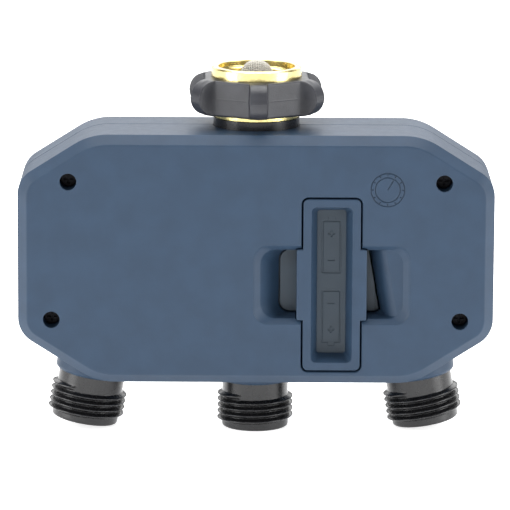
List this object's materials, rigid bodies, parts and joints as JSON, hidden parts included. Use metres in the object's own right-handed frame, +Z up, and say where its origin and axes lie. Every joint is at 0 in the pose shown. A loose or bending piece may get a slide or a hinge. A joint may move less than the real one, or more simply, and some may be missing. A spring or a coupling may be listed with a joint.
{
  "type": "drip irrigation timer",
  "caption": "Tap-hung watering timer: octagonal blue case, brass inlet swivel with screen, threaded outlets below, pull-out battery cassette in the back, dial and display in front.",
  "frame": {"origin": "middle of the brass inlet's rim", "axes": "+Z up along the inlet, +Y towards the controls (the battery cassette is on the -Y side), +X to the right seen from the back"},
  "size_m": [0.1674, 0.0644, 0.1323],
  "materials": {
    "case_blue": "fine moulded texture",
    "grip_grey": "satin",
    "thread_black": "moulded, slightly glossy",
    "panel_grey": "satin",
    "brass": "turned",
    "mesh_steel": "woven",
    "rubber_black": "matte",
    "screw_steel": "plated",
    "valve_white": "satin",
    "copper_coil": "enamelled winding",
    "core_steel": "ground",
    "cell_wrap": "plain wrapper",
    "contact_steel": "nickel plated",
    "board_green": "solder mask",
    "panel_face": "gloss",
    "lens_clear": "clear",
    "lcd_glass": "display glass",
    "knob_grey": "satin",
    "button_grey": "satin",
    "lead_red": "insulation"
  },
  "bodies": {
    "case": {"rear_shell": "case_blue", "front_shell": "case_blue", "case_gasket": "rubber_black", "case_screws": "screw_steel", "manifold": "thread_black", "neck_seal": "rubber_black", "outlet_left": "thread_black", "outlet_centre": "thread_black", "outlet_right": "thread_black", "outlet_seals": "rubber_black", "pipe_seals": "rubber_black", "battery_bay": "panel_grey", "bay_seal": "rubber_black", "bay_terminals": "contact_steel", "circuit_board": "board_green", "board_screws": "screw_steel", "rotary_switch": "panel_grey", "lcd_module": "lcd_glass", "keypad": "rubber_black", "coil_leads": "lead_red", "fascia": "panel_face", "lcd_lens": "lens_clear", "valve_left": "valve_white", "diaphragm_left": "rubber_black", "bonnet_left": "valve_white", "coil_left": "copper_coil", "plunger_spring_left": "contact_steel", "valve_centre": "valve_white", "diaphragm_centre": "rubber_black", "bonnet_centre": "valve_white", "coil_centre": "copper_coil", "plunger_spring_centre": "contact_steel", "valve_right": "valve_white", "diaphragm_right": "rubber_black", "bonnet_right": "valve_white", "coil_right": "copper_coil", "plunger_spring_right": "contact_steel"},
    "swivel": {"hand_nut": "grip_grey", "brass_insert": "brass"},
    "filter": {"filter_screen": "mesh_steel", "filter_rim": "screw_steel", "inlet_washer": "rubber_black"},
    "cassette": {"cassette_frame": "case_blue", "cassette_tray": "panel_grey", "batteries": "cell_wrap", "battery_contacts": "contact_steel"},
    "dial_body": {"dial": "knob_grey"},
    "button_up_body": {"button_up": "button_grey"},
    "button_down_body": {"button_down": "button_grey"},
    "button_select_body": {"button_select": "button_grey"},
    "button_manual_body": {"button_manual": "button_grey"},
    "plunger_left_body": {"plunger_left": "core_steel"},
    "plunger_centre_body": {"plunger_centre": "core_steel"},
    "plunger_right_body": {"plunger_right": "core_steel"}
  },
  "joints": [
    {"name": "swivel_turn", "type": "hinge", "parent": "case", "child": "swivel", "pos_m": [0, 0, 0], "axis": [0, 0, 1], "continuous": true},
    {"name": "filter_lift", "type": "slide", "parent": "case", "child": "filter", "axis": [0, 0, 1], "range_m": [0, 0.015]},
    {"name": "cassette_pull", "type": "slide", "parent": "case", "child": "cassette", "axis": [0, -1, 0], "range_m": [0, 0.042]},
    {"name": "dial_turn", "type": "hinge", "parent": "case", "child": "dial_body", "pos_m": [-0.009, 0.03, -0.0652], "axis": [0, 1, 0], "continuous": true},
    {"name": "button_up_press", "type": "slide", "parent": "case", "child": "button_up_body", "axis": [0, -1, 0], "range_m": [0, 0.0008], "stiffness_N_per_m": 600},
    {"name": "button_down_press", "type": "slide", "parent": "case", "child": "button_down_body", "axis": [0, -1, 0], "range_m": [0, 0.0008], "stiffness_N_per_m": 600},
    {"name": "button_select_press", "type": "slide", "parent": "case", "child": "button_select_body", "axis": [0, -1, 0], "range_m": [0, 0.0008], "stiffness_N_per_m": 600},
    {"name": "button_manual_press", "type": "slide", "parent": "case", "child": "button_manual_body", "axis": [0, -1, 0], "range_m": [0, 0.0008], "stiffness_N_per_m": 600},
    {"name": "plunger_left_lift", "type": "slide", "parent": "case", "child": "plunger_left_body", "axis": [0.1736, 0, 0.9848], "range_m": [0, 0.0016], "stiffness_N_per_m": 400, "deforming": ["plunger_spring_left"]},
    {"name": "plunger_centre_lift", "type": "slide", "parent": "case", "child": "plunger_centre_body", "axis": [0, 0, 1], "range_m": [0, 0.0016], "stiffness_N_per_m": 400, "deforming": ["plunger_spring_centre"]},
    {"name": "plunger_right_lift", "type": "slide", "parent": "case", "child": "plunger_right_body", "axis": [-0.1736, 0, 0.9848], "range_m": [0, 0.0016], "stiffness_N_per_m": 400, "deforming": ["plunger_spring_right"]}
  ]
}
